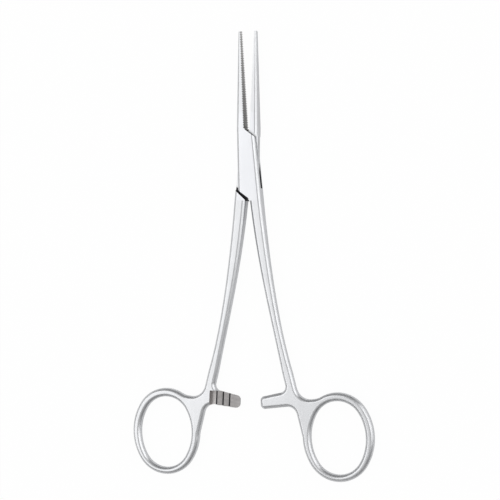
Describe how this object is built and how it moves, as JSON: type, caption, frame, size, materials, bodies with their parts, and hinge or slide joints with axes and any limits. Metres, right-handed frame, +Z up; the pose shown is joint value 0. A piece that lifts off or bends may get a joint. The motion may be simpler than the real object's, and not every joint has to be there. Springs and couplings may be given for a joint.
{
  "type": "hemostat forceps",
  "caption": "Straight ring-handled locking forceps: serrated jaws, a box lock and two ratchet arms that catch when closed.",
  "frame": {"origin": "where the pivot's axis meets the underside of the lock", "axes": "+Y towards the jaw tips, +X to the right seen from above with the tips away, +Z up along the pivot"},
  "size_m": [0.09, 0.1581, 0.005],
  "materials": {
    "box_half": "satin brushed stainless steel",
    "tenon_half": "satin brushed stainless steel",
    "hinge_pin": "ground flush with the lock and satin brushed"
  },
  "bodies": {
    "box_side": {"box_half": "box_half", "hinge_pin": "hinge_pin"},
    "tenon_side": {"tenon_half": "tenon_half"}
  },
  "joints": [
    {"name": "lock_pivot", "type": "hinge", "parent": "box_side", "child": "tenon_side", "pos_m": [0, 0, 0.0025], "axis": [0, 0, -1], "range_deg": [-6.3, 84]}
  ]
}
